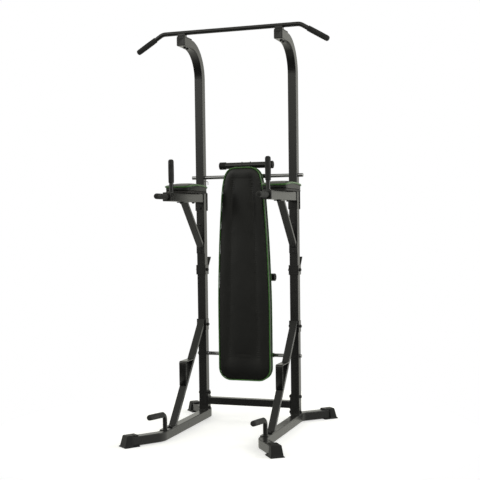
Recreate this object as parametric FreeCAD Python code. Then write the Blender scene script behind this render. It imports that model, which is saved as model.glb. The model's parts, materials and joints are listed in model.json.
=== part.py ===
import FreeCAD, Part
import math
import os

# Power tower: pull-up bar, dip arms with elbow pads, push-up handles, barbell hooks
# and a bench that stands between the uprights and folds down to the rear.
# Millimetres, +X to the right, +Y to the rear, +Z up, floor at Z = 0.
V = FreeCAD.Vector

# ---- main frame -------------------------------------------------------------
TUBE = 50.0                 # square frame tube
WALL = 2.0                  # tube wall
CORNER = 4.0                # outside corner radius of the square tube
UPRIGHT_X = 290.0           # upright centre, left and right of the middle
UPRIGHT_FRONT = 280.0       # front face of the uprights
UPRIGHT_Y = UPRIGHT_FRONT + TUBE / 2
SOLE = 4.0                  # rubber under the base tubes
BASE_TOP = SOLE + TUBE
JOINT_Z = 906.0             # lower and upper upright meet here
SPIGOT = 200.0              # length of the sleeve inside that joint
ARCH_TOP = 2252.0           # top face of the curved upright
ARCH_RADIUS = 180.0         # centre-line radius of the curve
ARCH_END = UPRIGHT_FRONT - 262.0
CAP = 4.0                   # thickness of a plastic end cap

# ---- base tubes, plan points of the centre line -----------------------------
FRONT_BEND = (290.0, -358.0)
FRONT_TOE = (432.0, -548.0)
REAR_BEND = (290.0, 373.0)
REAR_TOE = (463.0, 543.0)
BASE_BEND_RADIUS = 75.0
BOOT_LENGTH = 84.0
BOOT_WIDTH_TOP = 58.0
BOOT_WIDTH_LOW = 70.0
BOOT_HEIGHT = 63.0
BOOT_LIP = 4.0
BOOT_LEAN = 16.0            # how far the outer face leans in at the top
BOOT_INSET = BOOT_LEAN + CAP
BOOT_GROOVE = 38.0          # distance of the groove from the open end

# ---- crossbar, struts and steps ---------------------------------------------
CROSSBAR = 42.0
CROSSBAR_Z = 114.0
CROSSBAR_PLATE = (7.0, 42.0, 122.0)
STRUT_WIDTH = 42.0
STRUT_DEPTH = 20.0
FRONT_STRUT_TOP = (UPRIGHT_FRONT, 602.0)
FRONT_STRUT_FOOT = (UPRIGHT_FRONT - 476.0, BASE_TOP)
FRONT_BRACKET = (545.0, 612.0)
STEP_FRONT = UPRIGHT_FRONT - 317.0
STEP_TOP = 397.0
STEP_PLATE = 6.0
PLATE = 5.0

# ---- dip arms ---------------------------------------------------------------
ARM_LOW = 1313.0
ARM_TOP = ARM_LOW + TUBE
ARM_FRONT = UPRIGHT_FRONT - 505.0
ARM_PLATE_LOW = 1263.0
ARM_STRUT_FOOT = (UPRIGHT_FRONT, 1049.0)
ARM_STRUT_HEAD = (UPRIGHT_FRONT - 250.0, ARM_LOW)
ARM_STRUT_BRACKET = (1008.0, 1068.0)
PAD_X = 287.0
PAD_HALF_WIDTH = 75.0
PAD_FRONT = UPRIGHT_FRONT - 373.0
PAD_REAR = UPRIGHT_FRONT - 62.0
PAD_BOARD = 10.0
PAD_BOLTS = (UPRIGHT_FRONT - 218.0, UPRIGHT_FRONT - 110.0)
PAD_TOP = 1419.0
GRIP_TUBE_R = 12.5
GRIP_FOAM_R = 15.5
VERTICAL_GRIP_X = 282.0
VERTICAL_GRIP_Y = UPRIGHT_FRONT - 456.0
VERTICAL_GRIP = (1416.0, 1546.0)
DIP_GRIP = (ARM_FRONT - 150.0, ARM_FRONT - 8.0)

# ---- pull-up bar ------------------------------------------------------------
BAR_R = 12.7
BAR_Z = 2277.0
BAR_Y = UPRIGHT_FRONT - 240.0
BAR_BEND_X = 410.0
BAR_TIP = (571.0, 2180.0)
BAR_FOAM_X = 455.0
BAR_BEND_RADIUS = 60.0
MOUNT_BOLTS = (UPRIGHT_FRONT - 166.0, UPRIGHT_FRONT - 206.0)

# ---- push-up handles --------------------------------------------------------
PUSH_POST_Y = UPRIGHT_FRONT - 583.0
PUSH_BEND_Z = 140.0
PUSH_TIP = (UPRIGHT_FRONT - 797.0, 162.0)
PUSH_FOAM_START = UPRIGHT_FRONT - 612.0
PUSH_BEND_RADIUS = 32.0

# ---- barbell hooks ----------------------------------------------------------
HOOK_BAND = (881.0, 938.0)
HOOK_PLATE = 5.0
HOOK_WIDTH = 44.0
HOOK_FLOOR = 934.0
HOOK_REACH = 18.0
HOOK_LIP = (38.0, 50.0)     # rearward and upward run of the sloping lip

# ---- bench, hinged on the low rod -------------------------------------------
ROD_R = 11.0
RUNNING_FIT = 0.08
HINGE_Z = 402.0
LOCK_Z = 1462.0
PIN_STUB = 31.0
PIN_GAP = 1.5
SLEEVE_R = 13.0
HINGE_SLEEVE = 158.0
LOCK_SLEEVE = 119.5
BENCH_FRONT = UPRIGHT_FRONT - 64.0
BENCH_FOAM = 54.0
BENCH_BOARD = 12.0
STRAP = 4.0
SPINE_WIDTH = 50.0
SPINE_DEPTH = 38.0
BENCH_LOW = 258.0
BENCH_TOP = 1513.0
BENCH_HALF_LOW = 159.0
BENCH_CORNER_LOW = 72.0
# half widths of the bench pad and the heights at which they hold
BENCH_TAPER = ((660.0, 159.0), (870.0, 155.0), (1150.0, 143.0), (1300.0, 133.0), (1425.0, 119.0))
END_BAR_Z = 1528.0
END_BAR_Y = UPRIGHT_FRONT + 20.0
END_BAR_HALF = 167.0
ROUND_BAR_R = 19.0
ROUND_CAP_R = 22.5
ROUND_CAP_LENGTH = 40.0

# ---- folding leg of the bench -----------------------------------------------
LEG_Y = UPRIGHT_Y + 40.0
LEG_PIVOT_Z = 1201.0
LEG_LENGTH = 338.0
LEG_WIDTH = 38.0
LEG_DEPTH = 30.0
LEG_END = 12.0
LEG_BAR_HALF = 160.0
LEG_BOLT_R = 5.0
EAR_GAP = 0.6
EAR = 4.5

SIDES = (("L", -1.0), ("R", 1.0))


# ---- helpers ----------------------------------------------------------------
def block(x, y, z):
    """Box between the pairs x, y and z."""
    low = V(min(x), min(y), min(z))
    return Part.makeBox(abs(x[1] - x[0]), abs(y[1] - y[0]), abs(z[1] - z[0]), low)


def rod(start, end, radius):
    """Round bar from start to end."""
    run = end - start
    return Part.makeCylinder(radius, run.Length, start, run)


def union(shapes):
    """One solid made from touching or overlapping shapes."""
    return shapes[0].multiFuse(shapes[1:]).removeSplitter()


def rectangle_wire(width, height, radius):
    """Rounded rectangle in the XY plane, centred on the origin."""
    a = width / 2
    b = height / 2
    if radius <= 0:
        return Part.makePolygon([V(-a, -b, 0), V(a, -b, 0), V(a, b, 0), V(-a, b, 0), V(-a, -b, 0)])
    k = radius * (1 - math.sqrt(0.5))
    edges = []
    for sx, sy in ((1, -1), (1, 1), (-1, 1), (-1, -1)):
        first = V(sx * a, sy * (b - radius), 0)
        second = V(sx * (a - radius), sy * b, 0)
        if sx != sy:
            first, second = second, first
        edges.append(Part.Arc(first, V(sx * (a - k), sy * (b - k), 0), second).toShape())
    loop = []
    for index, arc in enumerate(edges):
        following = edges[(index + 1) % 4]
        loop.append(arc)
        loop.append(Part.LineSegment(arc.Vertexes[-1].Point, following.Vertexes[0].Point).toShape())
    return Part.Wire(loop)


def aimed(wire, origin, axis, side):
    """Move a wire from the XY plane to origin, its normal along axis and its X along side."""
    z = V(axis).normalize()
    x = V(side).normalize()
    y = z.cross(x)
    matrix = FreeCAD.Matrix(x.x, y.x, z.x, origin.x, x.y, y.y, z.y, origin.y, x.z, y.z, z.z, origin.z, 0, 0, 0, 1)
    moved = wire.copy()
    moved.Placement = FreeCAD.Placement(matrix)
    return moved


def bent_path(points, radius):
    """Polyline through the points with every inner corner rounded."""
    edges = []
    last = points[0]
    for before, corner, after in zip(points, points[1:], points[2:]):
        back = (before - corner).normalize()
        ahead = (after - corner).normalize()
        turn = math.pi - back.getAngle(ahead)
        cut = radius * math.tan(turn / 2)
        inward = (back + ahead).normalize()
        centre = corner + inward * (radius / math.cos(turn / 2))
        enter = corner + back * cut
        leave = corner + ahead * cut
        edges.append(Part.LineSegment(last, enter).toShape())
        edges.append(Part.Arc(enter, centre - inward * radius, leave).toShape())
        last = leave
    edges.append(Part.LineSegment(last, points[-1]).toShape())
    return Part.Wire(edges)


def swept(path, points, wire, side):
    """Solid of a closed wire carried along the path."""
    start = aimed(wire, points[0], points[1] - points[0], side)
    return path.makePipeShell([start], True, False)


def square_tube(points, side, width=TUBE, depth=TUBE, wall=WALL, corner=CORNER, radius=BASE_BEND_RADIUS):
    """Hollow rectangular tube along the points; width is measured along side."""
    path = bent_path(points, radius)
    skin = swept(path, points, rectangle_wire(width, depth, corner), side)
    hollow = swept(path, points, rectangle_wire(width - 2 * wall, depth - 2 * wall, corner - wall), side)
    return skin.cut(hollow)


def round_bar(points, radius, bend_radius, wall=0.0):
    """Round bar along the points, or an open tube where it has a wall."""
    path = bent_path(points, bend_radius)
    run = points[1] - points[0]
    skin = path.makePipeShell([Part.Wire([Part.makeCircle(radius, points[0], run)])], True, False)
    if wall <= 0:
        return skin
    bore = Part.Wire([Part.makeCircle(radius - wall, points[0], run)])
    return skin.cut(path.makePipeShell([bore], True, False))


def pipe(start, end, radius, wall=WALL):
    """Straight round tube, open at both ends."""
    return rod(start, end, radius).cut(rod(start, end, radius - wall))


def hexagon(seat, direction, across=17.0, height=7.0):
    """Hexagon head that sits on the seat point, with a washer under it."""
    n = V(direction).normalize()
    side = V(0, 0, 1) if abs(n.z) < 0.9 else V(1, 0, 0)
    corner = across / math.sqrt(3)
    points = [V(corner * math.cos(k * math.pi / 3), corner * math.sin(k * math.pi / 3), 0) for k in range(7)]
    washer = Part.makeCylinder(across * 0.62, 1.6, seat, n)
    head = Part.Face(aimed(Part.makePolygon(points), seat + n * 1.6, n, side)).extrude(n * height)
    crown = Part.makeCone(across * 0.58, across * 0.44, height, seat + n * 1.6, n)
    return washer.fuse(head.common(crown))


def rounded(shape, radius, axis):
    """Round the straight edges that run along one axis."""
    chosen = []
    for edge in shape.Edges:
        if len(edge.Vertexes) != 2:
            continue
        run = (edge.Vertexes[1].Point - edge.Vertexes[0].Point).normalize()
        if abs(abs(run.dot(axis)) - 1) < 1e-6:
            chosen.append(edge)
    return shape.makeFillet(radius, chosen)


NODES = {}


def add(name, *shapes):
    """Keep one node, made of one solid or of a few small ones."""
    NODES[name] = shapes[0] if len(shapes) == 1 else Part.makeCompound(list(shapes))


# ---- base -------------------------------------------------------------------
def base_tube(s):
    z = SOLE + TUBE / 2
    plan = (FRONT_TOE, FRONT_BEND, REAR_BEND, REAR_TOE)
    ends = [V(s * x, y, z) for x, y in plan]
    ends[0] = ends[0] + (ends[1] - ends[0]).normalize() * BOOT_INSET
    ends[-1] = ends[-1] + (ends[-2] - ends[-1]).normalize() * BOOT_INSET
    side = (ends[1] - ends[0]).cross(V(0, 0, 1))
    return square_tube(ends, side)


def foot_cap(s, toe, bend):
    """Rubber boot whose sides and outer face lean in, with a lip at the floor and a groove."""
    end = V(s * toe[0], toe[1], 0)
    back = (V(s * bend[0], bend[1], 0) - end).normalize()
    across = back.cross(V(0, 0, 1))

    def level(z, half, start, finish):
        """Rectangle at one height, from start to finish along the tube."""
        corners = [(-half, start), (half, start), (half, finish), (-half, finish), (-half, start)]
        return Part.makePolygon([end + across * a + back * b + V(0, 0, z) for a, b in corners])

    low = BOOT_WIDTH_LOW / 2
    top = BOOT_WIDTH_TOP / 2
    wide = low + BOOT_LIP
    body = Part.makeLoft([level(0, low, 0, BOOT_LENGTH), level(BOOT_HEIGHT, top, BOOT_LEAN, BOOT_LENGTH)], True, True)
    lip_base = level(0, wide, -BOOT_LIP, BOOT_LENGTH + BOOT_LIP)
    lip_top = level(BOOT_LIP + 1, wide - 3, 2 - BOOT_LIP, BOOT_LENGTH + BOOT_LIP - 2)
    lip = Part.makeLoft([lip_base, lip_top], True, True)
    mark = BOOT_LENGTH - BOOT_GROOVE
    band = Part.Face(level(BOOT_LIP + 1, wide, mark, mark + 2.5)).extrude(V(0, 0, BOOT_HEIGHT))
    core_top = level(BOOT_HEIGHT - 2, top - 2, mark - 5, mark + 5)
    core = Part.makeLoft([level(0, low - 2, mark - 5, mark + 5), core_top], True, True)
    socket_start = end + back * BOOT_INSET + V(0, 0, SOLE + TUBE / 2)
    socket = swept(
        Part.Wire([Part.LineSegment(socket_start, socket_start + back * BOOT_LENGTH * 1.2).toShape()]),
        [socket_start, socket_start + back],
        rectangle_wire(TUBE, TUBE, CORNER),
        across,
    )
    return union([body, lip]).cut(band.cut(core)).cut(socket)


# ---- uprights ---------------------------------------------------------------
def cross_holes(shape, heights):
    """Drill the rod holes through an upright."""
    for z in heights:
        for s in (-1.0, 1.0):
            inner = V(s * (UPRIGHT_X - TUBE), UPRIGHT_Y, z)
            shape = shape.cut(rod(inner, inner + V(s * 2 * TUBE, 0, 0), ROD_R if z == HINGE_Z else ROD_R + RUNNING_FIT))
    return shape


def lower_upright(s):
    x = s * UPRIGHT_X
    tube = square_tube([V(x, UPRIGHT_Y, BASE_TOP), V(x, UPRIGHT_Y, JOINT_Z - 0.5)], V(1, 0, 0))
    return cross_holes(tube, [HINGE_Z])


def upper_upright(s):
    x = s * UPRIGHT_X
    top = ARCH_TOP - TUBE / 2
    points = [V(x, UPRIGHT_Y, JOINT_Z + 0.5), V(x, UPRIGHT_Y, top), V(x, ARCH_END, top)]
    return cross_holes(square_tube(points, V(1, 0, 0), radius=ARCH_RADIUS), [LOCK_Z])


def spigot(s):
    z = (JOINT_Z - SPIGOT / 2, JOINT_Z + SPIGOT / 2)
    inside = TUBE - 2 * WALL
    ends = [V(s * UPRIGHT_X, UPRIGHT_Y, z[0]), V(s * UPRIGHT_X, UPRIGHT_Y, z[1])]
    return square_tube(ends, V(1, 0, 0), width=inside, depth=inside, corner=CORNER - WALL)


def end_cap(s, front, z):
    """Plastic plug over the front end of a square tube."""
    x = s * UPRIGHT_X
    plate = block((x - TUBE / 2, x + TUBE / 2), (front - CAP, front), (z - TUBE / 2, z + TUBE / 2))
    return rounded(plate, CORNER, V(0, 1, 0))


# ---- crossbar, struts and steps ---------------------------------------------
def crossbar():
    inner = UPRIGHT_X - TUBE / 2
    thick, wide, tall = CROSSBAR_PLATE
    bar = square_tube(
        [V(-inner + thick, UPRIGHT_Y, CROSSBAR_Z), V(inner - thick, UPRIGHT_Y, CROSSBAR_Z)],
        V(0, 1, 0), width=CROSSBAR, depth=CROSSBAR, corner=3.0,
    )
    pieces = [bar]
    for s in (-1.0, 1.0):
        depth = (UPRIGHT_Y - wide / 2, UPRIGHT_Y + wide / 2)
        height = (CROSSBAR_Z - tall / 2 + 1, CROSSBAR_Z + tall / 2)
        pieces.append(rounded(block((s * (inner - thick), s * inner), depth, height), 6.0, V(1, 0, 0)))
    return union(pieces)


def crossbar_bolts():
    heads = []
    thick = CROSSBAR_PLATE[0]
    for s in (-1.0, 1.0):
        for z in (CROSSBAR_Z - 46, CROSSBAR_Z + 47):
            heads.append(hexagon(V(s * (UPRIGHT_X - TUBE / 2 - thick), UPRIGHT_Y, z), V(-s, 0, 0)))
            heads.append(hexagon(V(s * (UPRIGHT_X + TUBE / 2), UPRIGHT_Y, z), V(s, 0, 0)))
    return heads


def strut_bar(x, head, foot):
    """Flat rectangular tube between two points of the side view."""
    start = V(x, head[0], head[1])
    end = V(x, foot[0], foot[1])
    extra = (end - start).normalize() * STRUT_WIDTH
    return square_tube(
        [start - extra, end + extra], V(1, 0, 0), width=STRUT_WIDTH, depth=STRUT_DEPTH, corner=3.0
    )


def front_strut(s):
    x = s * UPRIGHT_X
    half = TUBE / 2
    bar = strut_bar(x, FRONT_STRUT_TOP, FRONT_STRUT_FOOT)
    space = block((x - TUBE, x + TUBE), (-600, UPRIGHT_FRONT - PLATE), (BASE_TOP + PLATE, 700))
    bar = bar.common(space)
    reach = (UPRIGHT_FRONT - PLATE, UPRIGHT_FRONT + TUBE * 0.8)
    cradle = block((x - half - PLATE, x + half + PLATE), reach, FRONT_BRACKET)
    cradle = cradle.cut(block((x - half, x + half), (UPRIGHT_FRONT, UPRIGHT_FRONT + TUBE), FRONT_BRACKET))
    foot_y = FRONT_STRUT_FOOT[0]
    sole = block((x - 24, x + 24), (foot_y - 58, foot_y + 30), (BASE_TOP, BASE_TOP + PLATE))
    return union([bar, cradle, rounded(sole, 6.0, V(0, 0, 1))])


def strut_bolts(s):
    x = s * UPRIGHT_X
    side = x + s * (TUBE / 2 + PLATE)
    inner = x - s * (TUBE / 2 + PLATE)
    z = sum(FRONT_BRACKET) / 2
    y = UPRIGHT_FRONT + 22.0
    toe = V(x, FRONT_STRUT_FOOT[0] - 40, BASE_TOP + PLATE)
    low = ARM_STRUT_BRACKET[0] + 11
    return [
        hexagon(V(side, y, z), V(s, 0, 0)),
        hexagon(V(inner, y, z), V(-s, 0, 0)),
        hexagon(toe, V(0, 0, 1), 15.0, 6.0),
        hexagon(V(x, UPRIGHT_FRONT - PLATE, low), V(0, -1, 0), 15.0, 5.0),
        hexagon(V(x, UPRIGHT_FRONT + TUBE, low), V(0, 1, 0), 15.0, 5.0),
        hexagon(V(x, ARM_STRUT_HEAD[0] - 46, ARM_LOW - PLATE), V(0, 0, -1), 15.0, 5.0),
    ]


def step(s):
    """Bent foot plate that stands on the front strut."""
    x = s * UPRIGHT_X
    half = STRUT_WIDTH / 2
    slope = (FRONT_STRUT_TOP[1] - FRONT_STRUT_FOOT[1]) / (FRONT_STRUT_TOP[0] - FRONT_STRUT_FOOT[0])
    lift = STRUT_DEPTH / 2 * math.sqrt(1 + slope * slope)

    def surface_z(y):
        return FRONT_STRUT_TOP[1] + lift - slope * (FRONT_STRUT_TOP[0] - y)

    def surface_y(z):
        return FRONT_STRUT_TOP[0] - (FRONT_STRUT_TOP[1] + lift - z) / slope

    # both ends of the bent plate are cut to the slope of the strut's upper face
    outline = [
        (STEP_FRONT, surface_z(STEP_FRONT)),
        (STEP_FRONT, STEP_TOP),
        (surface_y(STEP_TOP), STEP_TOP),
        (surface_y(STEP_TOP - STEP_PLATE), STEP_TOP - STEP_PLATE),
        (STEP_FRONT + STEP_PLATE, STEP_TOP - STEP_PLATE),
        (STEP_FRONT + STEP_PLATE, surface_z(STEP_FRONT + STEP_PLATE)),
    ]
    points = [V(x - half, y, z) for y, z in outline]
    points.append(points[0])
    return Part.Face(Part.makePolygon(points)).extrude(V(STRUT_WIDTH, 0, 0))


# ---- dip arms ---------------------------------------------------------------
def arm(s):
    x = s * UPRIGHT_X
    z = ARM_LOW + TUBE / 2
    tube = square_tube([V(x, ARM_FRONT + CAP, z), V(x, UPRIGHT_FRONT - PLATE, z)], V(1, 0, 0))
    flange = block((x - 28, x + 28), (UPRIGHT_FRONT - PLATE, UPRIGHT_FRONT), (ARM_PLATE_LOW, ARM_TOP + 8))
    return union([tube, rounded(flange, 5.0, V(0, 1, 0))])


def clamp_plate(s):
    x = s * UPRIGHT_X
    rear = UPRIGHT_FRONT + TUBE
    plate = block((x - 29, x + 29), (rear, rear + PLATE), (ARM_PLATE_LOW, ARM_TOP + 8))
    return rounded(plate, 5.0, V(0, 1, 0))


def arm_bolts(s):
    x = s * UPRIGHT_X
    rear = UPRIGHT_FRONT + TUBE + PLATE
    heads = [hexagon(V(x, UPRIGHT_FRONT - PLATE, ARM_PLATE_LOW + 18), V(0, -1, 0))]
    heads += [hexagon(V(x, rear, z), V(0, 1, 0)) for z in (ARM_PLATE_LOW + 18, ARM_TOP - 22)]
    for y in PAD_BOLTS:
        heads.append(hexagon(V(x, y, ARM_LOW), V(0, 0, -1), 15.0, 6.0))
    return heads


def arm_strut(s):
    x = s * UPRIGHT_X
    bar = strut_bar(x, ARM_STRUT_HEAD, ARM_STRUT_FOOT)
    space = block((x - TUBE, x + TUBE), (-200, UPRIGHT_FRONT - PLATE), (900, ARM_LOW - PLATE))
    bar = bar.common(space)
    foot = block((x - 25, x + 25), (UPRIGHT_FRONT - PLATE, UPRIGHT_FRONT), ARM_STRUT_BRACKET)
    head_y = ARM_STRUT_HEAD[0]
    head = block((x - 22, x + 22), (head_y - 62, head_y + 20), (ARM_LOW - PLATE, ARM_LOW))
    return union([bar, foot, rounded(head, 5.0, V(0, 0, 1))])


def pad_plan(s, inset, z):
    """Outline of an elbow pad, rounded at its corners."""
    width = 2 * (PAD_HALF_WIDTH - inset)
    length = PAD_REAR - PAD_FRONT - 2 * inset
    centre = V(s * PAD_X, (PAD_FRONT + PAD_REAR) / 2, z)
    return aimed(rectangle_wire(width, length, 16.0), centre, V(0, 0, 1), V(1, 0, 0))


def arm_board(s):
    return Part.Face(pad_plan(s, 4.0, ARM_TOP)).extrude(V(0, 0, PAD_BOARD))


def arm_pad(s):
    base = ARM_TOP + PAD_BOARD
    solid = Part.Face(pad_plan(s, 0.0, base)).extrude(V(0, 0, PAD_TOP - base))
    rim = [edge for edge in solid.Edges if min(v.Z for v in edge.Vertexes) > PAD_TOP - 0.1]
    return solid.makeFillet(11.0, rim)


def vertical_handle(s):
    foot = V(s * VERTICAL_GRIP_X, VERTICAL_GRIP_Y, ARM_TOP)
    flange = Part.makeCylinder(17.0, 4.0, foot)
    tube = pipe(foot, V(foot.x, foot.y, VERTICAL_GRIP[1] - 6), GRIP_TUBE_R)
    return union([flange, tube])


def foam_sleeve(open_end, tip):
    """Foam grip on the end of a bar, closed and rounded at the tip."""
    skin = rod(open_end, tip, GRIP_FOAM_R)
    edges = [e for e in skin.Edges if (e.CenterOfMass - tip).Length < 1 and len(e.Vertexes) == 1]
    skin = skin.makeFillet(4.0, edges)
    run = (tip - open_end).normalize()
    return skin.cut(rod(open_end, tip - run * 6.0, GRIP_TUBE_R))


def vertical_grip(s):
    x = s * VERTICAL_GRIP_X
    return foam_sleeve(V(x, VERTICAL_GRIP_Y, VERTICAL_GRIP[0]), V(x, VERTICAL_GRIP_Y, VERTICAL_GRIP[1]))


def dip_handle(s):
    seat = V(s * UPRIGHT_X, ARM_FRONT, ARM_LOW + TUBE / 2)
    flange = Part.makeCylinder(20.0, 3.0, seat, V(0, -1, 0))
    return union([flange, pipe(seat, V(seat.x, DIP_GRIP[0] + 6, seat.z), GRIP_TUBE_R)])


def dip_grip(s):
    x = s * UPRIGHT_X
    z = ARM_LOW + TUBE / 2
    return foam_sleeve(V(x, DIP_GRIP[1], z), V(x, DIP_GRIP[0], z))


# ---- pull-up bar ------------------------------------------------------------
def bar_slope():
    """Unit vector down the right end of the bar."""
    return V(BAR_TIP[0] - BAR_BEND_X, 0, BAR_TIP[1] - BAR_Z).normalize()


def pullup_bar():
    slope = bar_slope()
    tip = V(BAR_TIP[0], BAR_Y, BAR_TIP[1]) - slope * 6
    corner = V(BAR_BEND_X, BAR_Y, BAR_Z)
    left = [V(-tip.x, tip.y, tip.z), V(-corner.x, corner.y, corner.z)]
    return round_bar(left + [corner, tip], BAR_R, BAR_BEND_RADIUS, WALL)


def pullup_grip(s):
    slope = bar_slope()
    start_length = (BAR_FOAM_X - BAR_BEND_X) / slope.x
    start = V(BAR_BEND_X, BAR_Y, BAR_Z) + slope * start_length
    tip = V(BAR_TIP[0], BAR_Y, BAR_TIP[1])
    skin = rod(V(s * start.x, start.y, start.z), V(s * tip.x, tip.y, tip.z), GRIP_FOAM_R)
    rim = [e for e in skin.Edges if len(e.Vertexes) == 1 and (e.CenterOfMass - V(s * tip.x, tip.y, tip.z)).Length < 1]
    inner_end = tip - slope * 6
    core = rod(V(s * start.x, start.y, start.z), V(s * inner_end.x, tip.y, inner_end.z), BAR_R)
    return skin.makeFillet(4.0, rim).cut(core)


def bar_mount(s):
    """Plate on the tube end with a saddle under the bar, and its two bolts."""
    x = s * UPRIGHT_X
    plate = block((x - 25, x + 25), (ARCH_END - CAP, UPRIGHT_FRONT - 150), (ARCH_TOP, ARCH_TOP + 4))
    saddle = block((x - 22, x + 22), (BAR_Y - 16, BAR_Y + 16), (ARCH_TOP + 4, BAR_Z - 3))
    saddle = rounded(saddle, 5.0, V(1, 0, 0)).cut(rod(V(x - 40, BAR_Y, BAR_Z), V(x + 40, BAR_Y, BAR_Z), BAR_R))
    return union([rounded(plate, 5.0, V(0, 0, 1)), saddle])


def mount_bolts(s):
    x = s * UPRIGHT_X
    heads = []
    for y in MOUNT_BOLTS:
        heads.append(hexagon(V(x, y, ARCH_TOP + 4), V(0, 0, 1), 15.0, 6.0))
        heads.append(hexagon(V(x, y, ARCH_TOP - TUBE), V(0, 0, -1), 15.0, 6.0))
    return heads


# ---- push-up handles --------------------------------------------------------
def push_points(s):
    x = s * UPRIGHT_X
    return [
        V(x, PUSH_POST_Y, BASE_TOP),
        V(x, PUSH_POST_Y, PUSH_BEND_Z),
        V(x, PUSH_TIP[0], PUSH_TIP[1]),
    ]


def pushup_handle(s):
    points = push_points(s)
    run = (points[2] - points[1]).normalize()
    points[2] = points[2] - run * 6
    post = round_bar(points, GRIP_TUBE_R, PUSH_BEND_RADIUS, WALL)
    plate = block((points[0].x - 24, points[0].x + 24), (PUSH_POST_Y - 24, PUSH_POST_Y + 24), (BASE_TOP, BASE_TOP + 4))
    return union([post, rounded(plate, 6.0, V(0, 0, 1))])


def pushup_grip(s):
    points = push_points(s)
    run = (points[2] - points[1]).normalize()
    start = points[1] + run * ((points[1].y - PUSH_FOAM_START) / abs(run.y))
    return foam_sleeve(start, points[2])


# ---- barbell hooks ----------------------------------------------------------
def barbell_hook(s):
    """Band round the upright joint with a sloping catch at its rear."""
    x = s * UPRIGHT_X
    half = TUBE / 2
    rear = UPRIGHT_FRONT + TUBE
    band = block((x - half - PLATE, x + half + PLATE), (UPRIGHT_FRONT - PLATE, rear + PLATE), HOOK_BAND)
    band = rounded(band, 4.0, V(0, 0, 1))
    band = band.cut(block((x - half, x + half), (UPRIGHT_FRONT, rear), HOOK_BAND))
    wide = HOOK_WIDTH / 2
    y0 = rear + PLATE
    y1 = y0 + HOOK_REACH
    y2 = y1 + HOOK_LIP[0]
    z0 = HOOK_FLOOR
    z2 = z0 + HOOK_LIP[1]
    diagonal = HOOK_PLATE * 1.4142
    outline = [
        (y0, z0),
        (y1, z0),
        (y2, z2),
        (y2 + HOOK_PLATE * 0.7, z2 - HOOK_PLATE * 0.7),
        (y1 + HOOK_PLATE * 0.4, z0 - diagonal + HOOK_PLATE * 0.4),
        (y0, HOOK_BAND[0] + 6),
    ]
    points = [V(x - wide, y, z) for y, z in outline]
    points.append(points[0])
    catch = Part.Face(Part.makePolygon(points)).extrude(V(HOOK_WIDTH, 0, 0))
    return union([band, catch])


def hook_bolts(s):
    x = s * UPRIGHT_X
    z = sum(HOOK_BAND) / 2
    side = TUBE / 2 + PLATE
    return [
        hexagon(V(x + side, UPRIGHT_Y, z), V(1, 0, 0)),
        hexagon(V(x - side, UPRIGHT_Y, z), V(-1, 0, 0)),
    ]


# ---- rods -------------------------------------------------------------------
def hinge_axle():
    """Low rod through both uprights, with a nut on each end."""
    end = UPRIGHT_X + TUBE / 2
    shaft = rod(V(-end, UPRIGHT_Y, HINGE_Z), V(end, UPRIGHT_Y, HINGE_Z), ROD_R)
    nuts = [hexagon(V(s * end, UPRIGHT_Y, HINGE_Z), V(s, 0, 0), 22.0, 9.0) for s in (-1.0, 1.0)]
    return union([shaft] + nuts)


def lock_pin(s):
    """Half of the locking rod, with a rounded outer end."""
    outer = UPRIGHT_X + TUBE / 2 + PIN_STUB
    inner = LOCK_SLEEVE + PIN_GAP
    bar = rod(V(s * inner, UPRIGHT_Y, LOCK_Z), V(s * outer, UPRIGHT_Y, LOCK_Z), ROD_R)
    rims = [edge for edge in bar.Edges if len(edge.Vertexes) == 1]
    return bar.makeChamfer(1.5, rims)


def pin_clip():
    """Bent wire hook under the left end of the locking rod."""
    x = -UPRIGHT_X + TUBE / 2
    points = [V(x, UPRIGHT_Y - 8, LOCK_Z - 24), V(x + 22, UPRIGHT_Y - 8, LOCK_Z - 24), V(x + 22, UPRIGHT_Y - 8, LOCK_Z - 44)]
    return round_bar(points, 2.0, 5.0)


# ---- bench ------------------------------------------------------------------
def bench_outline(inset, y):
    """Closed outline of the bench pad: straight below, narrowing towards the top."""
    low = BENCH_LOW + inset
    top = BENCH_TOP - inset
    radius = BENCH_CORNER_LOW - inset
    side = [V(half - inset, y, z) for z, half in BENCH_TAPER]
    foot = V(BENCH_HALF_LOW - inset, y, low + radius)
    shoulder_z = BENCH_TAPER[-1][0]
    head_half = side[-1].x * 0.30
    k = 1 - math.sqrt(0.5)
    curve = Part.BSplineCurve()
    curve.interpolate(side, InitialTangent=V(0, 0, 1), FinalTangent=V(-0.22, 0, 1))
    right = [
        Part.LineSegment(V(0, y, low), V(foot.x - radius, y, low)).toShape(),
        Part.Arc(V(foot.x - radius, y, low), V(foot.x - radius * k, y, low + radius * k), foot).toShape(),
        Part.LineSegment(foot, side[0]).toShape(),
        curve.toShape(),
    ]
    shoulder = Part.BezierCurve()
    rise = top - shoulder_z
    shoulder.setPoles([
        side[-1],
        V(side[-1].x - 0.22 * rise * 0.45, y, shoulder_z + rise * 0.45),
        V(side[-1].x * 0.86, y, top),
        V(head_half, y, top),
    ])
    right.append(shoulder.toShape())
    right.append(Part.LineSegment(V(head_half, y, top), V(0, y, top)).toShape())
    half = Part.Wire(Part.__sortEdges__(right))
    other = half.mirror(V(0, 0, 0), V(1, 0, 0))
    return Part.Wire(Part.__sortEdges__(half.Edges + other.Edges))


def bench_pad():
    solid = Part.Face(bench_outline(0.0, BENCH_FRONT)).extrude(V(0, BENCH_FOAM, 0))
    rim = [e for e in solid.Edges if e.BoundBox.YMax < BENCH_FRONT + 0.1]
    return solid.makeFillet(9.0, rim)


def bench_board():
    face = Part.Face(bench_outline(5.0, BENCH_FRONT + BENCH_FOAM))
    return face.extrude(V(0, BENCH_BOARD, 0))


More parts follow.
